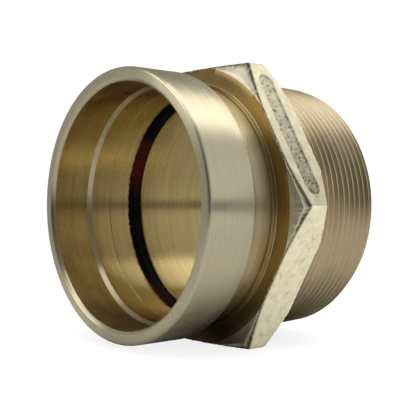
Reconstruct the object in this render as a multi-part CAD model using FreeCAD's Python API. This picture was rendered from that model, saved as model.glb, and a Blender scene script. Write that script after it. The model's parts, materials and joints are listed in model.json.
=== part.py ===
import FreeCAD, Part
import math
import os

# Male cam-and-groove pipe adapter, nominal size 2 1/2 inch (DN 65).
# The flow axis is X. The origin is the centre of the nose's flat sealing face, +X runs towards
# the threaded end and +Z points up through the middle of a flat of the hexagon.
# All lengths are in millimetres.

# Nose, which slides into the cam coupler
NOSE_R = 37.9
NOSE_END = 15.1
LIP_OUTER_ROUND = 0.9
LIP_INNER_R = 34.95

# Cam groove behind the nose
GROOVE_FLOOR_R = 34.9
GROOVE_FLOOR_START = 18.6
GROOVE_FLOOR_END = 23.9
GROOVE_END_R = 35.7
GROOVE_STEP = 0.4
GROOVE_FRONT_SAG = 0.8
GROOVE_REAR_SAG = 0.25

# Hexagon
HEX_FRONT = 25.4
HEX_REAR = 37.9
HEX_ACROSS_FLATS = 79.0
HEX_EDGE_ROUND = 1.2
HEX_FRONT_FACE_R = 40.2
HEX_FRONT_CHAMFER = math.radians(23.5)
HEX_REAR_FACE_R = 40.9
HEX_REAR_CHAMFER = math.radians(40.0)

# Taper pipe thread R 2 1/2: 11 threads per inch, 55 degree Whitworth form, taper 1 in 16
BODY_LENGTH = 65.1
THREAD_PITCH = 25.4 / 11.0
THREAD_GAUGE_R = 75.184 / 2.0
THREAD_GAUGE_LENGTH = 17.5
THREAD_TAPER = 1.0 / 32.0
THREAD_DEPTH = 0.640327 * THREAD_PITCH
THREAD_HALF_ANGLE = math.radians(27.5)
THREAD_RELIEF_END = 39.6
THREAD_RELIEF_R = 36.1
THREAD_END_CHAMFER = 1.5

# Bores
MOUTH_R = 34.0
MOUTH_BEVEL_END = 0.9
MOUTH_END = 12.5
FRONT_BORE_R = 33.2
FRONT_BORE_START = 13.8
SHOULDER = 31.95
REAR_BORE_R = 31.7
REAR_BORE_CHAMFER = 1.2

# Seal ring, seated against the shoulder between the two bores
SEAL_FRONT = 28.1
SEAL_INNER_R = 32.25
SEAL_FIT = 0.08
SEAL_BEVEL = 0.4
SEAL_BEVEL_LENGTH = 1.0
SEAL_AXIAL_GAP = 0.05

# How far cutting shapes run past the surfaces that they cut
BEYOND = 1.0
ABOVE_CREST = 0.3
INTO_RELIEF = 0.2


def vector(x, r):
    """A point of a half section: x along the flow axis, r out from it."""
    return FreeCAD.Vector(x, 0.0, r)


def line(start, end):
    return Part.LineSegment(vector(*start), vector(*end)).toShape()


def arc(start, middle, end):
    return Part.Arc(vector(*start), vector(*middle), vector(*end)).toShape()


def turned(edges):
    """Revolve a closed half section about the flow axis."""
    face = Part.Face(Part.Wire(edges))
    return face.revolve(FreeCAD.Vector(0, 0, 0), FreeCAD.Vector(1, 0, 0), 360.0)


def turned_polygon(points):
    closed = list(points) + [points[0]]
    return turned([line(a, b) for a, b in zip(closed, closed[1:])])


def sagging_arc(start, end, sag):
    """An arc from start to end whose middle lies sag off the chord, towards the axis."""
    along_x = end[0] - start[0]
    along_r = end[1] - start[1]
    chord = math.hypot(along_x, along_r)
    middle = (
        0.5 * (start[0] + end[0]) + sag * along_r / chord,
        0.5 * (start[1] + end[1]) - sag * along_x / chord,
    )
    return arc(start, middle, end)


def quarter_round(centre, radius, start_degrees, end_degrees):
    """Start, middle and end points of an arc, measured from +X towards +r."""
    angles = (start_degrees, 0.5 * (start_degrees + end_degrees), end_degrees)
    return [
        (centre[0] + radius * math.cos(math.radians(a)), centre[1] + radius * math.sin(math.radians(a)))
        for a in angles
    ]


def crest_radius(x):
    """Radius over the thread's crests, largest beside the hexagon."""
    gauge_plane = BODY_LENGTH - THREAD_GAUGE_LENGTH
    return THREAD_GAUGE_R + (gauge_plane - x) * THREAD_TAPER


def turned_core():
    """Nose, cam groove, neck through the hexagon and the blank of the thread, still solid inside."""
    lip = quarter_round((LIP_OUTER_ROUND, NOSE_R - LIP_OUTER_ROUND), LIP_OUTER_ROUND, 180.0, 90.0)
    groove_front = (NOSE_END, NOSE_R)
    groove_floor = (GROOVE_FLOOR_START, GROOVE_FLOOR_R)
    wall_start = (GROOVE_FLOOR_END, GROOVE_FLOOR_R)
    wall_end = (HEX_FRONT - GROOVE_STEP, GROOVE_END_R)
    relief_start = (HEX_REAR, THREAD_RELIEF_R)
    relief_end = (THREAD_RELIEF_END, THREAD_RELIEF_R)
    thread_start = (
        THREAD_RELIEF_END + crest_radius(THREAD_RELIEF_END) - THREAD_RELIEF_R,
        crest_radius(THREAD_RELIEF_END),
    )
    chamfer_start = (BODY_LENGTH - THREAD_END_CHAMFER, crest_radius(BODY_LENGTH))
    chamfer_end = (BODY_LENGTH, crest_radius(BODY_LENGTH) - THREAD_END_CHAMFER)
    edges = [
        line((0.0, 0.0), lip[0]),
        arc(*lip),
        line(lip[2], groove_front),
        sagging_arc(groove_front, groove_floor, GROOVE_FRONT_SAG),
        line(groove_floor, wall_start),
        sagging_arc(wall_start, wall_end, GROOVE_REAR_SAG),
        line(wall_end, (HEX_FRONT, GROOVE_END_R)),
        line((HEX_FRONT, GROOVE_END_R), relief_start),
        line(relief_start, relief_end),
        line(relief_end, thread_start),
        line(thread_start, chamfer_start),
        line(chamfer_start, chamfer_end),
        line(chamfer_end, (BODY_LENGTH, 0.0)),
        line((BODY_LENGTH, 0.0), (0.0, 0.0)),
    ]
    return turned(edges)


def hexagon():
    """Hexagonal prism with rounded edges, its corners chamfered on both sides."""
    corner_r = HEX_ACROSS_FLATS / math.sqrt(3.0)
    corners = []
    for i in range(7):
        angle = math.radians(60.0 * i)
        corners.append(FreeCAD.Vector(HEX_FRONT, corner_r * math.cos(angle), corner_r * math.sin(angle)))
    prism = Part.Face(Part.makePolygon(corners)).extrude(FreeCAD.Vector(HEX_REAR - HEX_FRONT, 0, 0))
    long_edges = [e for e in prism.Edges if abs(e.Vertexes[0].X - e.Vertexes[1].X) > BEYOND]
    prism = prism.makeFillet(HEX_EDGE_ROUND, long_edges)
    outer = corner_r + BEYOND
    front_x = HEX_FRONT + (outer - HEX_FRONT_FACE_R) * math.tan(HEX_FRONT_CHAMFER)
    rear_x = HEX_REAR - (outer - HEX_REAR_FACE_R) * math.tan(HEX_REAR_CHAMFER)
    envelope = turned_polygon([
        (HEX_FRONT, 0.0),
        (HEX_FRONT, HEX_FRONT_FACE_R),
        (front_x, outer),
        (rear_x, outer),
        (HEX_REAR, HEX_REAR_FACE_R),
        (HEX_REAR, 0.0),
    ])
    return prism.common(envelope)


def bores():
    """The stepped passage from the mouth to the threaded end."""
    bevel_slope = (LIP_INNER_R - MOUTH_R) / MOUTH_BEVEL_END
    return turned_polygon([
        (-BEYOND, 0.0),
        (-BEYOND, LIP_INNER_R + BEYOND * bevel_slope),
        (MOUTH_BEVEL_END, MOUTH_R),
        (MOUTH_END, MOUTH_R),
        (FRONT_BORE_START, FRONT_BORE_R),
        (SHOULDER, FRONT_BORE_R),
        (SHOULDER, REAR_BORE_R),
        (BODY_LENGTH - REAR_BORE_CHAMFER, REAR_BORE_R),
        (BODY_LENGTH + BEYOND, REAR_BORE_R + REAR_BORE_CHAMFER + BEYOND),
        (BODY_LENGTH + BEYOND, 0.0),
    ])


def thread_cutter():
    """One long helical ridge with the shape of the groove between the thread's crests."""
    flat = THREAD_PITCH / 6.0
    start_x = BODY_LENGTH + THREAD_PITCH
    length = start_x - (THREAD_RELIEF_END - INTO_RELIEF * THREAD_PITCH)
    helix_r = crest_radius(start_x)
    taper_degrees = math.degrees(math.atan(THREAD_TAPER))
    helix = Part.makeHelix(THREAD_PITCH, length, helix_r, taper_degrees)
    inner = 0.5 * flat
    outer = inner + (THREAD_DEPTH + ABOVE_CREST) * math.tan(THREAD_HALF_ANGLE)
    section = [
        (helix_r - THREAD_DEPTH, -inner),
        (helix_r + ABOVE_CREST, -outer),
        (helix_r + ABOVE_CREST, outer),
        (helix_r - THREAD_DEPTH, inner),
    ]
    points = [FreeCAD.Vector(r, 0.0, z) for r, z in section]
    profile = Part.makePolygon(points + [points[0]])
    ridge = Part.Wire(helix).makePipeShell([profile], True, True)
    turn = FreeCAD.Rotation(FreeCAD.Vector(0, 1, 0), -90.0)
    ridge.Placement = FreeCAD.Placement(FreeCAD.Vector(start_x, 0, 0), turn)
    return ridge


def adapter_body():
    body = turned_core().fuse(hexagon()).cut(bores())
    return body.cut(thread_cutter())


def seal_ring():
    outer_r = FRONT_BORE_R - SEAL_FIT
    rear = SHOULDER - SEAL_AXIAL_GAP
    return turned_polygon([
        (SEAL_FRONT, SEAL_INNER_R + SEAL_BEVEL),
        (SEAL_FRONT, outer_r),
        (rear, outer_r),
        (rear, SEAL_INNER_R),
        (SEAL_FRONT + SEAL_BEVEL_LENGTH, SEAL_INNER_R),
    ])


def single_solid(shape):
    solids = shape.Solids
    if len(solids) != 1:
        raise ValueError("expected one solid, got %d" % len(solids))
    return solids[0]


def export(name, shape):
    solid = single_solid(shape)
    solid.exportStep("parts/%s.step" % name)
    box = solid.BoundBox
    print(name, "volume %.0f mm3" % solid.Volume, "valid", solid.isValid(), box)


os.makedirs("parts", exist_ok=True)
export("adapter_body", adapter_body())
export("seal_ring", seal_ring())
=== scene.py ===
import json
import math

import bmesh
import bpy
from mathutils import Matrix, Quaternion, Vector, noise


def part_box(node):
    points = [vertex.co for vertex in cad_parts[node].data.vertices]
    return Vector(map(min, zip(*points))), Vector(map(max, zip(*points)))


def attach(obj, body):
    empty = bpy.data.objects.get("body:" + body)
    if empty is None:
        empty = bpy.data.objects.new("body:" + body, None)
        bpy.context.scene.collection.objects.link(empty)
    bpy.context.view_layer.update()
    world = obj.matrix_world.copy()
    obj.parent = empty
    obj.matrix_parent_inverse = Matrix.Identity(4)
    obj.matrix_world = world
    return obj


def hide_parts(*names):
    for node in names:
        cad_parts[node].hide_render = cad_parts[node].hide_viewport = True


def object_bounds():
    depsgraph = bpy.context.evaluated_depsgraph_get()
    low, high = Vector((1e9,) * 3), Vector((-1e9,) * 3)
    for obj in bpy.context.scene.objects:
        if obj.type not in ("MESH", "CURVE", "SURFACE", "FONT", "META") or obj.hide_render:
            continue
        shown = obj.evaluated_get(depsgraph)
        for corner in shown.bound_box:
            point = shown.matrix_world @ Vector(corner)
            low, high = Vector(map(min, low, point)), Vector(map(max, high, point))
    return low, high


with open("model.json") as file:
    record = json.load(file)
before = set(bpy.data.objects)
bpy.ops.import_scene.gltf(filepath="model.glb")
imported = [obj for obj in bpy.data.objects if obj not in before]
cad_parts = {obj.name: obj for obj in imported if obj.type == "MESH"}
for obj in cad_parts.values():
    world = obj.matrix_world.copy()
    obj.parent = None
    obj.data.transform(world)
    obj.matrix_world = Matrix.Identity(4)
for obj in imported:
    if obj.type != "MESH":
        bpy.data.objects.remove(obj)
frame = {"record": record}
cad_low, cad_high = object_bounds()

# Male cam-and-groove pipe adapter. Shapes are worked out in millimetres, in the frame's axes:
# X is the flow axis from the nose to the threaded end, and Z is up.
MM = 0.001
body_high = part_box("adapter_body")[1]
seal_low, seal_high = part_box("seal_ring")
mounts = {m["name"]: m for m in frame["record"]["mounts"]}

BODY_LENGTH = body_high.x / MM
NOSE_R = mounts["cam_nose"]["dims"]["r_mm"]
MOUTH_R = mounts["mouth_bore"]["dims"]["r_mm"]
REAR_BORE_R = mounts["rear_bore"]["dims"]["r_mm"]
HALF_FLATS = body_high.z / MM
SEAL_FRONT = seal_low.x / MM
SEAL_REAR = seal_high.x / MM
SEAL_OUTER_R = seal_high.z / MM
SEAL_INNER_R = 32.25

LIP_INNER_R = 34.95
LIP_DEPTH = 0.9
NOSE_END = 15.1
GROOVE_FLOOR_START = 18.6
GROOVE_FLOOR_END = 23.9
GROOVE_FLOOR_R = 34.9
GROOVE_END_R = 35.7
GROOVE_STEP = 0.22
GROOVE_FRONT_SAG = 0.8
GROOVE_REAR_SAG = 0.25
HEX_FRONT = 25.4
HEX_REAR = 37.9
HEX_EDGE_ROUND = 1.2
HEX_FRONT_FACE_R = 40.2
HEX_FRONT_SLOPE = math.tan(math.radians(23.5))
HEX_REAR_FACE_R = 40.9
HEX_REAR_SLOPE = math.tan(math.radians(40.0))
MOUTH_END = 12.5
FRONT_BORE_START = 13.8
FRONT_BORE_R = 33.2
TOOL_MARK = 20.5
SHOULDER = 31.95

PITCH = 25.4 / 11.0
THREAD_DEPTH = 0.640327 * PITCH
THREAD_ROUND = 0.137329 * PITCH
THREAD_GAUGE_R = 75.184 / 2.0
THREAD_GAUGE_LENGTH = 17.5
THREAD_TAPER = 1.0 / 32.0
RELIEF_END = 39.6
RELIEF_R = 36.1
END_CHAMFER = 1.5
REAR_BORE_CHAMFER = 1.2

# Angles run from -Y (0 degrees) over +Z (90 degrees).
ROUND_STEPS = 320
HEX_STEPS = 3 * ROUND_STEPS
MACHINED, GROOVED, BORED_SHADED, THREADED, FACED_SHADED, CHAMFERED, CAST = range(7)


# ---------------------------------------------------------------- half sections

def softened(points):
    """Round the corners of a half section. A point is (x, r) or (x, r, radius, number of steps)."""
    result = []
    for i, point in enumerate(points):
        if len(point) == 2:
            result.append(Vector(point))
            continue
        corner = Vector(point[:2])
        before = (Vector(points[i - 1][:2]) - corner).normalized()
        after = (Vector(points[i + 1][:2]) - corner).normalized()
        half_angle = 0.5 * before.angle(after)
        reach = point[2] / math.tan(half_angle)
        centre = corner + (before + after).normalized() * point[2] / math.sin(half_angle)
        start = corner + before * reach - centre
        end = corner + after * reach - centre
        sweep = start.angle(end)
        for step in range(point[3] + 1):
            f = step / point[3]
            arm = (start * math.sin((1.0 - f) * sweep) + end * math.sin(f * sweep)) / math.sin(sweep)
            result.append(centre + arm)
    return result


def sagging_arc(start, end, sag, steps):
    """Points from start to end on an arc whose middle lies sag off the chord, towards the axis."""
    a = Vector(start)
    b = Vector(end)
    chord = (b - a).length
    inward = Vector((b.y - a.y, a.x - b.x)) / chord
    radius = (0.25 * chord * chord + sag * sag) / (2.0 * sag)
    centre = 0.5 * (a + b) + inward * (sag - radius)
    first = a - centre
    last = b - centre
    sweep = first.angle(last)
    points = []
    for step in range(steps + 1):
        f = step / steps
        arm = (first * math.sin((1.0 - f) * sweep) + last * math.sin(f * sweep)) / math.sin(sweep)
        points.append(centre + arm)
    return [tuple(p) for p in points]


def crest_radius(x):
    return THREAD_GAUGE_R + (BODY_LENGTH - THREAD_GAUGE_LENGTH - x) * THREAD_TAPER


# ---------------------------------------------------------------- closed skins made of rings

class Skin:
    """A closed surface built ring by ring about the X axis."""

    def __init__(self):
        self.points = []
        self.dirt_and_shade = []
        self.faces = []
        self.finishes = []
        self.first = None
        self.last = None

    def ring(self, xs, rs, dirt_and_shade=None, finish=None):
        """Add a ring and join it to the one before. xs and rs are lists with one entry per step."""
        count = len(rs)
        base = len(self.points)
        for i in range(count):
            angle = 2.0 * math.pi * i / count
            r = rs[i] * MM
            self.points.append((xs[i] * MM, -r * math.cos(angle), r * math.sin(angle)))
            self.dirt_and_shade.append(dirt_and_shade[i] if dirt_and_shade else 0.0)
        this = (base, count)
        if self.last and finish is not None:
            self.join(self.last, this, finish)
        if self.first is None:
            self.first = this
        self.last = this

    def turned(self, profile, finish):
        """Add one plain ring per (x, r) of a half section."""
        for x, r in profile:
            self.ring([x] * ROUND_STEPS, [r] * ROUND_STEPS, finish=finish)

    def join(self, a, b, finish):
        """Faces between two rings whose counts are equal or a whole multiple of each other."""
        steps = min(a[1], b[1])
        for i in range(steps):
            lower = self.span(a, i, steps)
            upper = self.span(b, i, steps)
            self.faces.append(lower + upper[::-1])
            self.finishes.append(finish)

    @staticmethod
    def span(ring, i, steps):
        base, count = ring
        share = count // steps
        return [base + (i * share + k) % count for k in range(share + 1)]

    def close(self, finish):
        self.join(self.last, self.first, finish)

    def build(self, name, materials, smooth_angle):
        mesh = bpy.data.meshes.new(name)
        mesh.from_pydata(self.points, [], self.faces)
        # Per point mask that darkens the cast skin: dark specks in pits, and painted shade.
        mesh.attributes.new("dirt_and_shade", "FLOAT", "POINT")
        mesh.attributes["dirt_and_shade"].data.foreach_set("value", self.dirt_and_shade)
        for material in materials:
            mesh.materials.append(material)
        mesh.polygons.foreach_set("material_index", self.finishes)
        tidy = bmesh.new()
        tidy.from_mesh(mesh)
        bmesh.ops.remove_doubles(tidy, verts=tidy.verts, dist=0.001 * MM)
        bmesh.ops.dissolve_degenerate(tidy, edges=tidy.edges, dist=0.0005 * MM)
        bmesh.ops.recalc_face_normals(tidy, faces=tidy.faces)
        tidy.to_mesh(mesh)
        tidy.free()
        mesh.polygons.foreach_set("use_smooth", [True] * len(mesh.polygons))
        mesh.set_sharp_from_angle(angle=math.radians(smooth_angle))
        piece = bpy.data.objects.new(name, mesh)
        bpy.context.scene.collection.objects.link(piece)
        return piece


# ---------------------------------------------------------------- hexagon

def hexagon_radius(angle):
    """Distance from the axis to the rounded hexagon, whose flats face 30, 90, 150 ... degrees."""
    from_corner = (angle + math.pi / 6.0) % (math.pi / 3.0) - math.pi / 6.0
    round_centre = (HALF_FLATS - HEX_EDGE_ROUND) / math.cos(math.pi / 6.0)
    tangent_side = HEX_EDGE_ROUND * math.sin(math.pi / 6.0)
    tangent_out = round_centre + HEX_EDGE_ROUND * math.cos(math.pi / 6.0)
    if abs(from_corner) < math.atan(tangent_side / tangent_out):
        side = round_centre * math.sin(from_corner)
        return round_centre * math.cos(from_corner) + math.sqrt(HEX_EDGE_ROUND ** 2 - side * side)
    return HALF_FLATS / math.cos(math.pi / 6.0 - abs(from_corner))


def lumps(x, angle, r, size, seed):
    """Smooth noise, from about -1 to 1, on a point of the skin, with lumps of that size in millimetres."""
    point = Vector((x, -r * math.cos(angle), r * math.sin(angle))) / size
    return noise.noise(point + Vector((seed, 0.37 * seed, -0.61 * seed)))


def ease(value, low, high):
    f = min(1.0, max(0.0, (value - low) / (high - low)))
    return f * f * (3.0 - 2.0 * f)


PANEL_ANGLE = math.radians(30.0)
PANEL_HALF_LENGTH = 19.3
PANEL_HALF_WIDTH = 2.7
PANEL_DEPTH = 0.5
PANEL_WALL = 0.7


def panel_depth(x, angle, r):
    """Depth of the long recess cast into the flat that faces 30 degrees, and how deep in it we are."""
    turn = (angle - PANEL_ANGLE + math.pi) % (2.0 * math.pi) - math.pi
    if abs(turn) > math.radians(30.0):
        return 0.0, 0.0
    along = r * math.sin(turn)
    across = x - 0.5 * (HEX_FRONT + HEX_REAR) + 0.1
    past_end = max(0.0, abs(along) - (PANEL_HALF_LENGTH - PANEL_HALF_WIDTH))
    inside = PANEL_HALF_WIDTH - math.hypot(past_end, across)
    inside += 0.18 * lumps(x, angle, r, 0.9, 3.0)
    floor = ease(inside, 0.0, PANEL_WALL)
    rough = 0.16 * lumps(x, angle, r, 1.1, 11.0) + 0.12 * lumps(x, angle, r, 0.42, 17.0)
    return floor * (PANEL_DEPTH + rough), floor


def cast_point(along, angle):
    """A point of the as-cast flats: along runs from 0 at the front edge to 1 at the rear edge."""
    plain = hexagon_radius(angle)
    front = HEX_FRONT + max(0.0, plain - HEX_FRONT_FACE_R) * HEX_FRONT_SLOPE
    rear = HEX_REAR - max(0.0, plain - HEX_REAR_FACE_R) * HEX_REAR_SLOPE
    x = front + along * (rear - front)
    grain = 0.10 + 0.05 * lumps(x, angle, plain, 1.7, 5.0) + 0.045 * lumps(x, angle, plain, 0.6, 7.0)
    ragged = 0.5 + 0.5 * lumps(x, angle, plain, 0.9, 23.0) + 0.35 * lumps(x, angle, plain, 0.4, 29.0)
    ragged = max(0.0, ragged)
    from_front = x - front
    from_rear = rear - x
    chip = 0.55 * ragged * (1.0 - ease(from_front, 0.0, 0.9))
    chip += 0.36 * ragged * (1.0 - ease(from_rear, 0.0, 0.8))
    recess, in_panel = panel_depth(x, angle, plain)
    # Painted shade: a dark line along the ragged front edge of the flats, where the rounded edge turns from
    # the light.
    dirt_and_shade = 1.25 * (1.0 - ease(from_front, 0.12, 0.75)) * (0.4 + 0.6 * min(1.0, ragged))
    # Painted shade: the flat that faces 30 degrees is darkened, most towards its corner at 0 degrees, and
    # more on its recess floor, with a random blotchy tone.
    if 0.0 < angle < 2.0 * PANEL_ANGLE:
        dirt_and_shade += 0.04 + 0.22 * in_panel + 0.34 * (1.0 - ease(angle, 0.0, 2.0 * PANEL_ANGLE))
        dirt_and_shade += 0.14 * lumps(x, angle, plain, 2.5, 37.0)
    # Dark specks in the pits of the recess floor, and painted shade along the recess walls.
    pits = lumps(x, angle, plain, 0.7, 41.0) + 0.6 * lumps(x, angle, plain, 0.4, 43.0)
    dirt_and_shade += 0.6 * in_panel * max(0.0, pits) + 1.5 * in_panel * (1.0 - in_panel)
    return x, plain - grain - chip - recess, min(1.0, dirt_and_shade)


def hexagon_rings(skin):
    angles = [2.0 * math.pi * i / HEX_STEPS for i in range(HEX_STEPS)]
    rows = [0.0, 0.012, 0.03, 0.055]
    rows += [0.085 + 0.83 * i / 24.0 for i in range(25)]
    rows += [0.945, 0.97, 0.988, 1.0]
    edge = [cast_point(0.0, a) for a in angles]
    skin.ring([HEX_FRONT] * HEX_STEPS, [min(HEX_FRONT_FACE_R, e[1]) for e in edge], finish=FACED_SHADED)
    for share in (0.33, 0.67):
        xs = [HEX_FRONT + share * (e[0] - HEX_FRONT) for e in edge]
        rs = []
        for e in edge:
            start = min(HEX_FRONT_FACE_R, e[1])
            rs.append(start + share * (e[1] - start))
        skin.ring(xs, rs, finish=CHAMFERED)
    for row in rows:
        points = [cast_point(row, a) for a in angles]
        skin.ring([p[0] for p in points], [p[1] for p in points], [p[2] for p in points], finish=CAST)
    edge = [cast_point(1.0, a) for a in angles]
    skin.ring([HEX_REAR] * HEX_STEPS, [min(HEX_REAR_FACE_R, e[1]) for e in edge], finish=CAST)


# ---------------------------------------------------------------- thread

def thread_offsets():
    """Distances along the axis from a root's middle to the points of one turn's rounded profile."""
    flank = math.radians(62.5)
    bend = [THREAD_ROUND * math.sin(f * flank) for f in (-1.0, -0.5, 0.0, 0.5, 1.0)]
    return bend + [0.5 * PITCH + b for b in bend]


def thread_drop(offset):
    """How far the thread's profile lies below its crest, at a distance from a root's middle."""
    from_crest = abs((offset % PITCH) - 0.5 * PITCH)
    flank = math.radians(62.5)
    bend = THREAD_ROUND * math.sin(flank)
    if from_crest <= bend:
        return THREAD_ROUND - math.sqrt(THREAD_ROUND ** 2 - from_crest ** 2)
    from_root = 0.5 * PITCH - from_crest
    if from_root <= bend:
        return THREAD_DEPTH - THREAD_ROUND + math.sqrt(THREAD_ROUND ** 2 - from_root ** 2)
    shoulder = THREAD_ROUND * (1.0 - math.cos(flank))
    return shoulder + (from_crest - bend) / math.tan(math.radians(27.5))


def thread_radius(x, offset):
    limit = min(RELIEF_R + x - RELIEF_END, crest_radius(BODY_LENGTH) - (x - BODY_LENGTH + END_CHAMFER))
    return min(limit, crest_radius(x) - thread_drop(offset))


def thread_rings(skin):
    """Rings that follow the right-hand helix, clamped between the relief and the end face."""
    root_at_zero = BODY_LENGTH + 0.25 * PITCH
    starts = [RELIEF_END]
    turn = -14
    while turn < 3:
        for offset in thread_offsets():
            start = root_at_zero + turn * PITCH + offset
            if RELIEF_END < start < BODY_LENGTH + PITCH:
                starts.append(start)
        turn += 1
    starts.append(BODY_LENGTH + PITCH)
    starts.sort()
    last = None
    for start in starts:
        base = len(skin.points)
        for i in range(ROUND_STEPS + 1):
            share = i / ROUND_STEPS
            x = min(BODY_LENGTH, max(RELIEF_END, start - PITCH * share))
            offset = x + PITCH * share - root_at_zero
            r = thread_radius(x, offset) * MM
            angle = 2.0 * math.pi * share
            skin.points.append((x * MM, -r * math.cos(angle), r * math.sin(angle)))
            skin.dirt_and_shade.append(0.0)
        if last is not None:
            for i in range(ROUND_STEPS):
                skin.faces.append([last + i, last + i + 1, base + i + 1, base + i])
                skin.finishes.append(THREADED)
        last = base
    skin.last = (last, ROUND_STEPS)


# ---------------------------------------------------------------- the two pieces

def adapter_skin():
    """Nose, cam groove, hexagon, thread and stepped bore as one closed skin."""
    skin = Skin()
    groove_front = sagging_arc((NOSE_END, NOSE_R), (GROOVE_FLOOR_START, GROOVE_FLOOR_R), GROOVE_FRONT_SAG, 10)
    wall_foot = (GROOVE_FLOOR_END, GROOVE_FLOOR_R)
    wall_top = (HEX_FRONT - GROOVE_STEP, GROOVE_END_R - 0.03)
    groove_rear = sagging_arc(wall_foot, wall_top, GROOVE_REAR_SAG, 6)
    nose = softened([(0.0, 36.0), (0.0, NOSE_R, LIP_DEPTH, 8), (NOSE_END, NOSE_R)])
    nose = nose[:-1] + [Vector((NOSE_END * f, NOSE_R)) for f in (0.25, 0.5, 0.75)]
    nose.append(Vector((NOSE_END - 0.12, NOSE_R)))
    nose.append(Vector((NOSE_END - 0.03, NOSE_R - 0.03)))
    skin.turned(nose, MACHINED)
    skin.turned(groove_front[1:], GROOVED)
    skin.turned([(x, GROOVE_FLOOR_R) for x in (20.4, 22.2)], GROOVED)
    skin.turned(groove_rear[:1], GROOVED)
    skin.turned(groove_rear[1:], FACED_SHADED)
    skin.turned([(HEX_FRONT - 0.06, GROOVE_END_R), (HEX_FRONT, GROOVE_END_R + 0.06)], MACHINED)
    skin.turned([(HEX_FRONT, GROOVE_END_R + 1.0), (HEX_FRONT, 38.6)], FACED_SHADED)
    hexagon_rings(skin)
    skin.turned([(HEX_REAR, 38.2), (HEX_REAR, RELIEF_R + 0.3), (HEX_REAR + 0.3, RELIEF_R)], THREADED)
    skin.turned([(RELIEF_END, RELIEF_R)], THREADED)
    thread_rings(skin)
    bore_mouth = REAR_BORE_R + REAR_BORE_CHAMFER
    mark = TOOL_MARK
    inside = softened([
        (BODY_LENGTH, 34.4),
        (BODY_LENGTH, bore_mouth, 0.15, 3),
        (BODY_LENGTH - REAR_BORE_CHAMFER, REAR_BORE_R, 0.3, 3),
        (52.0, REAR_BORE_R),
        (42.0, REAR_BORE_R),
        (SHOULDER + 0.25, REAR_BORE_R, 0.1, 2),
        (SHOULDER, REAR_BORE_R + 0.25, 0.08, 2),
        (SHOULDER, FRONT_BORE_R),
        (SEAL_FRONT - 0.5, FRONT_BORE_R),
        (mark + 0.2, FRONT_BORE_R),
        (mark + 0.1, FRONT_BORE_R + 0.10),
        (mark, FRONT_BORE_R + 0.02),
        (17.0, FRONT_BORE_R),
        (FRONT_BORE_START, FRONT_BORE_R, 0.15, 3),
        (MOUTH_END, MOUTH_R, 0.2, 3),
        (9.0, MOUTH_R),
        (5.0, MOUTH_R),
        (LIP_DEPTH, MOUTH_R, 0.8, 5),
        (0.0, LIP_INNER_R, 0.35, 4),
        (0.0, 36.0),
    ])
    for point in inside[:-1]:
        on_step = MOUTH_END - 0.1 < point[0] < FRONT_BORE_START
        on_lip = point[0] < LIP_DEPTH
        skin.turned([point], MACHINED if on_step or on_lip else BORED_SHADED)
    skin.close(MACHINED)
    return skin


def seal_skin():
    """A thin rubber ring with soft, slightly torn edges."""
    skin = Skin()
    steps = 2 * ROUND_STEPS
    section = softened([
        (SEAL_FRONT, SEAL_OUTER_R - 0.25),
        (SEAL_FRONT, SEAL_OUTER_R, 0.08, 2),
        (0.5 * (SEAL_FRONT + SEAL_REAR), SEAL_OUTER_R),
        (SEAL_REAR, SEAL_OUTER_R, 0.08, 2),
        (SEAL_REAR, SEAL_INNER_R, 0.2, 3),
        (SEAL_REAR - 0.7, SEAL_INNER_R),
        (SEAL_REAR - 1.3, SEAL_INNER_R),
        (SEAL_REAR - 1.9, SEAL_INNER_R),
        (SEAL_FRONT + 1.2, SEAL_INNER_R, 0.4, 3),
        (SEAL_FRONT, SEAL_INNER_R + 0.4, 0.3, 3),
        (SEAL_FRONT, SEAL_OUTER_R - 0.25),
    ])
    for x, r in section[:-1]:
        xs = []
        rs = []
        inner = ease(SEAL_OUTER_R - r, 0.05, 0.7)
        to_front = 1.0 - ease(x, SEAL_FRONT, SEAL_FRONT + 1.5)
        to_rear = ease(x, SEAL_REAR - 1.0, SEAL_REAR)
        for i in range(steps):
            angle = 2.0 * math.pi * i / steps
            torn = 0.30 * lumps(0.0, angle, r, 1.1, 51.0) + 0.20 * lumps(0.0, angle, r, 0.5, 57.0)
            dent = 0.06 * lumps(x, angle, r, 0.8, 61.0)
            xs.append(x + torn * to_front - abs(torn) * to_rear)
            rs.append(r + inner * dent)
        skin.ring(xs, rs, finish=0)
    skin.close(0)
    return skin


# ---------------------------------------------------------------- materials

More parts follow.
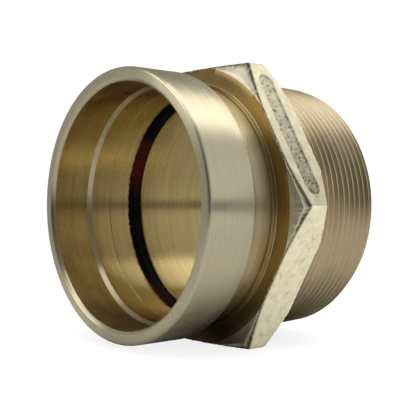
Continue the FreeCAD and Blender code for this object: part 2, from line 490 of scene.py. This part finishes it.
class Shader:
    """Short calls for building one material's nodes."""

    def __init__(self, name):
        self.material = bpy.data.materials.new(name)
        self.material.use_nodes = True
        self.tree = self.material.node_tree
        self.surface = self.tree.nodes["Principled BSDF"]

    def add(self, kind, inputs=None, **settings):
        made = self.tree.nodes.new("ShaderNode" + kind)
        for key, value in settings.items():
            setattr(made, key, value)
        for key, value in (inputs or {}).items():
            self.put(made.inputs[key], value)
        return made

    def put(self, socket, value):
        if isinstance(value, bpy.types.NodeSocket):
            self.tree.links.new(value, socket)
        else:
            socket.default_value = value

    def math(self, operation, a, b=0.0, c=0.0):
        return self.add("Math", {0: a, 1: b, 2: c}, operation=operation).outputs[0]

    def noise(self, vector, scale, detail=2.0, roughness=0.5):
        values = {"Vector": vector, "Scale": scale, "Detail": detail, "Roughness": roughness}
        return self.add("TexNoise", values).outputs["Fac"]

    def ramp(self, value, stops):
        made = self.add("ValToRGB", {"Fac": value})
        while len(made.color_ramp.elements) < len(stops):
            made.color_ramp.elements.new(0.5)
        for element, (place, colour) in zip(made.color_ramp.elements, stops):
            element.position = place
            element.color = (*colour, 1.0)
        return made.outputs["Color"]

    def span(self, value, low, high, to_low, to_high):
        values = {"Value": value, "From Min": low, "From Max": high, "To Min": to_low, "To Max": to_high}
        return self.add("MapRange", values).outputs["Result"]

    def mix(self, share, a, b):
        made = self.add("Mix", data_type="RGBA")
        self.put(made.inputs["Factor"], share)
        self.put(made.inputs["A"], a if isinstance(a, bpy.types.NodeSocket) else (*a, 1.0))
        self.put(made.inputs["B"], b if isinstance(b, bpy.types.NodeSocket) else (*b, 1.0))
        return made.outputs["Result"]

    def turning_coordinates(self):
        """Object position, distance along the cut (axis plus radius), and a vector for long streaks."""
        place = self.add("TexCoord").outputs["Object"]
        parts = self.add("SeparateXYZ", {0: place}).outputs
        radius = self.math("SQRT", self.math("ADD", self.math("MULTIPLY", parts[1], parts[1]),
                                             self.math("MULTIPLY", parts[2], parts[2])))
        along = self.math("ADD", parts[0], radius)
        turn_y = self.math("DIVIDE", parts[1], radius)
        turn_z = self.math("DIVIDE", parts[2], radius)
        return place, along, turn_y, turn_z

    def streaks(self, along, turn_y, turn_z, lines_per_metre, length, detail=2.0):
        """Noise drawn out round the axis into cutting lines."""
        vector = self.add("CombineXYZ", {
            0: self.math("MULTIPLY", along, lines_per_metre),
            1: self.math("MULTIPLY", turn_y, length),
            2: self.math("MULTIPLY", turn_z, length),
        }).outputs[0]
        return self.noise(vector, 1.0, detail, 0.6)


def cut_brass(name, tint, dark_tint, roughness, lines_per_metre, bump, anisotropy):
    """Brass turned on a lathe: fine lines round the axis, faint smudges, a stretched gloss."""
    s = Shader(name)
    place, along, turn_y, turn_z = s.turning_coordinates()
    fine = s.streaks(along, turn_y, turn_z, lines_per_metre, 2.5, 3.0)
    coarse = s.streaks(along, turn_y, turn_z, 0.16 * lines_per_metre, 1.2, 2.0)
    smudge = s.noise(place, 70.0, 4.0, 0.6)
    stain = s.noise(place, 260.0, 3.0, 0.65)
    tone = s.math("MULTIPLY_ADD", coarse, 0.55, s.math("MULTIPLY", smudge, 0.6))
    colour = s.mix(s.span(tone, 0.40, 0.75, 0.0, 1.0), dark_tint, tint)
    colour = s.mix(s.span(stain, 0.66, 0.80, 0.0, 0.35), colour, tuple(0.45 * v for v in dark_tint))
    s.put(s.surface.inputs["Base Color"], colour)
    s.surface.inputs["Metallic"].default_value = 1.0
    rough = s.math("MULTIPLY_ADD", fine, 0.16, s.span(smudge, 0.3, 0.75, roughness - 0.10, roughness + 0.02))
    s.put(s.surface.inputs["Roughness"], rough)
    s.surface.inputs["Anisotropic"].default_value = anisotropy
    s.surface.inputs["Anisotropic Rotation"].default_value = 0.25
    tangent = s.add("Tangent", direction_type="RADIAL", axis="X").outputs[0]
    s.put(s.surface.inputs["Tangent"], tangent)
    height = s.math("MULTIPLY_ADD", coarse, 0.7, fine)
    lines = s.add("Bump", {"Height": height, "Strength": bump, "Distance": 0.02 * MM}).outputs[0]
    s.put(s.surface.inputs["Normal"], lines)
    return s.material


def cast_brass():
    """Sand-cast brass skin: pale, grainy and matt, darkened by one mask: dark specks in the recess pits, and
    painted shade along the ragged front edge, in the recess walls and over one whole flat.
    """
    s = Shader("cast_brass_skin")
    place = s.add("TexCoord").outputs["Object"]
    grain = s.noise(place, 2600.0, 3.0, 0.65)
    blotch = s.noise(place, 520.0, 3.0, 0.6)
    broad = s.noise(place, 90.0, 2.0, 0.5)
    tone = s.math("MULTIPLY_ADD", grain, 0.45, s.math("MULTIPLY", blotch, 0.55))
    dull = (0.40, 0.34, 0.23)
    cream = (0.78, 0.70, 0.48)
    pale = (0.95, 0.87, 0.62)
    colour = s.ramp(tone, [(0.30, dull), (0.44, cream), (0.66, pale)])
    colour = s.mix(s.span(broad, 0.35, 0.7, 0.0, 0.25), colour, (0.80, 0.75, 0.56))
    # This mask holds dark specks in the recess pits and painted shade along the front edge, in the recess
    # walls and over one flat.
    dirt_and_shade = s.add("Attribute", attribute_name="dirt_and_shade").outputs["Fac"]
    darkening = s.math("MULTIPLY", dirt_and_shade, s.span(blotch, 0.25, 0.6, 0.8, 1.25))
    # Mix towards near black by the mask: painted shade and dark specks.
    colour = s.mix(s.math("MINIMUM", darkening, 0.96), colour, (0.045, 0.033, 0.022))
    s.put(s.surface.inputs["Base Color"], colour)
    s.surface.inputs["Metallic"].default_value = 0.25
    s.put(s.surface.inputs["Roughness"], s.span(tone, 0.3, 0.7, 0.62, 0.46))
    height = s.math("MULTIPLY_ADD", blotch, 0.9, grain)
    bumps = s.add("Bump", {"Height": height, "Strength": 0.8, "Distance": 0.12 * MM}).outputs[0]
    s.put(s.surface.inputs["Normal"], bumps)
    return s.material


def seal_rubber():
    """Black rubber with dark red-brown stretches and dust specks."""
    s = Shader("seal_rubber_skin")
    place = s.add("TexCoord").outputs["Object"]
    parts = s.add("SeparateXYZ", {0: place}).outputs
    stretch = s.noise(place, 34.0, 1.0, 0.5)
    grain = s.noise(place, 1500.0, 3.0, 0.7)
    specks = s.noise(place, 2300.0, 1.0, 0.5)
    side = s.math("MULTIPLY", s.span(stretch, 0.46, 0.55, 0.0, 1.0), s.span(grain, 0.3, 0.6, 0.35, 1.0))
    colour = s.mix(side, (0.004, 0.004, 0.006), (0.15, 0.020, 0.009))
    colour = s.mix(s.span(specks, 0.70, 0.76, 0.0, 0.6), colour, (0.12, 0.10, 0.10))
    s.put(s.surface.inputs["Base Color"], colour)
    s.put(s.surface.inputs["Roughness"], s.span(grain, 0.3, 0.7, 0.55, 0.8))
    s.surface.inputs["Specular IOR Level"].default_value = 0.1
    bumps = s.add("Bump", {"Height": grain, "Strength": 0.6, "Distance": 0.1 * MM}).outputs[0]
    s.put(s.surface.inputs["Normal"], bumps)
    return s.material


# ---------------------------------------------------------------- studio

FLOOR_Z = cad_low.z
FLOOR_GLOW = 0.84
WORLD_LEVEL = 0.28
WORLD_ALONG_X = 0.16
WORLD_ALONG_Y = -0.06
WORLD_XY = -0.34
WORLD_LEAST = 0.03
WHITE_SEEN = 1.05


def make_floor():
    """A pale sheet with a painted shadow: darker close under the part, it fades into the white surroundings.

    It glows for camera rays only, which keeps it near white to the eye but adds no light.
    """
    size = 0.9
    mesh = bpy.data.meshes.new("floor")
    corners = [(-size, -size), (size, -size), (size, size), (-size, size)]
    mesh.from_pydata([(x, y, FLOOR_Z - 0.02 * MM) for x, y in corners], [], [(0, 1, 2, 3)])
    floor = bpy.data.objects.new("floor", mesh)
    bpy.context.scene.collection.objects.link(floor)
    s = Shader("floor_paper")
    place = s.add("TexCoord").outputs["Object"]
    under = (0.033, 0.0, FLOOR_Z)
    distance = s.add("VectorMath", {0: place, 1: under}, operation="DISTANCE").outputs["Value"]
    # Painted shadow: the floor's colour is darker within a few centimetres of the part, standing in for the
    # shade under it.
    paper = s.add("BsdfDiffuse", {"Color": s.span(distance, 0.018, 0.045, 0.08, 0.60)})
    seen = s.add("LightPath").outputs["Is Camera Ray"]
    strength = s.math("MULTIPLY", seen, FLOOR_GLOW)
    glow = s.add("Emission", {"Color": (1.0, 1.0, 1.0, 1.0), "Strength": strength})
    lit = s.add("AddShader", {0: paper.outputs[0], 1: glow.outputs[0]})
    clear = s.add("BsdfTransparent")
    fade = s.span(distance, 0.10, 0.55, 0.0, 1.0)
    blend = s.add("MixShader", {0: fade, 1: lit.outputs[0], 2: clear.outputs[0]})
    s.put(s.tree.nodes["Material Output"].inputs["Surface"], blend.outputs[0])
    mesh.materials.append(s.material)


def make_world():
    """Soft grey surroundings: lightest to the right of the camera, dim to its left and behind.

    A dim line at the horizon, on the right only, shows as the dark line along the turned metal.
    """
    world = bpy.data.worlds.new("studio")
    bpy.context.scene.world = world
    world.use_nodes = True
    s = Shader.__new__(Shader)
    s.tree = world.node_tree
    x, y, z = s.add("SeparateXYZ", {0: s.add("TexCoord").outputs["Generated"]}).outputs
    level = s.math("MULTIPLY_ADD", x, WORLD_ALONG_X, WORLD_LEVEL)
    level = s.math("MULTIPLY_ADD", y, WORLD_ALONG_Y, level)
    level = s.math("MULTIPLY_ADD", s.math("MULTIPLY", x, y), WORLD_XY, level)
    level = s.math("MAXIMUM", level, WORLD_LEAST)
    from_horizon = s.span(s.math("ABSOLUTE", z), 0.03, 0.09, 0.25, 1.0)
    line = s.math("MAXIMUM", from_horizon, s.span(x, 0.0, 0.35, 1.0, 0.0))
    level = s.math("MULTIPLY", level, line)
    seen = s.add("LightPath").outputs["Is Camera Ray"]
    level = s.math("MAXIMUM", level, s.math("MULTIPLY", seen, WHITE_SEEN))
    background = s.tree.nodes["Background"]
    s.put(background.inputs["Color"], (1.0, 1.0, 1.0, 1.0))
    s.put(background.inputs["Strength"], level)


def softbox(name, place, target, width, height, radiance):
    light = bpy.data.lights.new(name, "AREA")
    light.shape = "RECTANGLE"
    light.size = width
    light.size_y = height
    light.energy = radiance * math.pi * width * height
    box = bpy.data.objects.new(name, light)
    box.location = place
    box.rotation_mode = "QUATERNION"
    box.rotation_quaternion = (Vector(target) - Vector(place)).to_track_quat("-Z", "Y")
    bpy.context.scene.collection.objects.link(box)
    return box


def make_lights():
    softbox("overhead_box", (0.3, -0.11, 0.75), (0.3, -0.11, 0.0), 1.8, 0.54, 1.0)
    softbox("left_rear_box", (-1.05, 0.66, 0.75), (0.0, 0.0, 0.0), 0.7, 0.7, 1.6)
    # A wide fill from the front that only lights the matt skin and leaves no glint on the turned metal.
    fill = softbox("front_fill", (0.0, -0.9, 0.10), (0.03, 0.0, 0.0), 1.0, 0.4, 6.8)
    fill.visible_glossy = False


CAMERA_AIM = Vector((29.9, 0.0, 1.6)) * MM
CAMERA_DISTANCE = 241.6 * MM
CAMERA_AZIMUTH = math.radians(-41.0)
CAMERA_ELEVATION = math.radians(0.1)
CAMERA_LENS = 73.35


def make_camera():
    data = bpy.data.cameras.new("camera")
    data.lens = CAMERA_LENS
    data.sensor_width = 36.0
    data.clip_start = 0.01
    data.clip_end = 20.0
    camera = bpy.data.objects.new("camera", data)
    back = Vector((
        math.sin(CAMERA_AZIMUTH) * math.cos(CAMERA_ELEVATION),
        -math.cos(CAMERA_AZIMUTH) * math.cos(CAMERA_ELEVATION),
        math.sin(CAMERA_ELEVATION),
    ))
    camera.location = CAMERA_AIM + back * CAMERA_DISTANCE
    camera.rotation_mode = "QUATERNION"
    camera.rotation_quaternion = (-back).to_track_quat("-Z", "Y")
    bpy.context.scene.collection.objects.link(camera)
    bpy.context.scene.camera = camera


# ---------------------------------------------------------------- assembly

make_camera()
make_floor()
make_world()
make_lights()
bpy.context.scene.view_settings.view_transform = "Standard"

PALE_BRASS = (0.94, 0.85, 0.60)
# Darker, warmer brass for the bore: painted shade standing in for the dim inside of the bore.
SHADED_BORE_BRASS = (0.72, 0.58, 0.27)
body_materials = [
    cut_brass("turned_brass", PALE_BRASS, (0.85, 0.75, 0.50), 0.27, 5200.0, 0.35, 0.88),
    cut_brass("grooved_brass", (0.93, 0.81, 0.52), (0.80, 0.66, 0.38), 0.27, 5200.0, 0.35, 0.88),
    # Painted shade: the bore's copy of the brass is darker and warmer.
    cut_brass("bored_brass_painted_shade", SHADED_BORE_BRASS, (0.56, 0.42, 0.16), 0.26, 4200.0, 0.30, 0.88),
    cut_brass("threaded_brass", (0.92, 0.78, 0.52), (0.76, 0.62, 0.38), 0.34, 6500.0, 0.25, 0.5),
    # Painted shade: a dark brown copy of the brass for the flat faces and the groove's rear wall, standing in
    # for the dark they reflect.
    cut_brass("faced_brass_painted_shade", (0.44, 0.32, 0.13), (0.32, 0.21, 0.075), 0.30, 4800.0, 0.35, 0.6),
    cut_brass("chamfered_brass", (0.94, 0.83, 0.66), (0.80, 0.69, 0.53), 0.36, 2600.0, 0.20, 0.0),
    cast_brass(),
]

casting = adapter_skin().build("adapter_casting", body_materials, 32.0)
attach(casting, "adapter")
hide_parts("adapter_body")

seal = seal_skin().build("inner_seal", [seal_rubber()], 50.0)
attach(seal, "seal")
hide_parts("seal_ring")

bpy.context.view_layer.update()
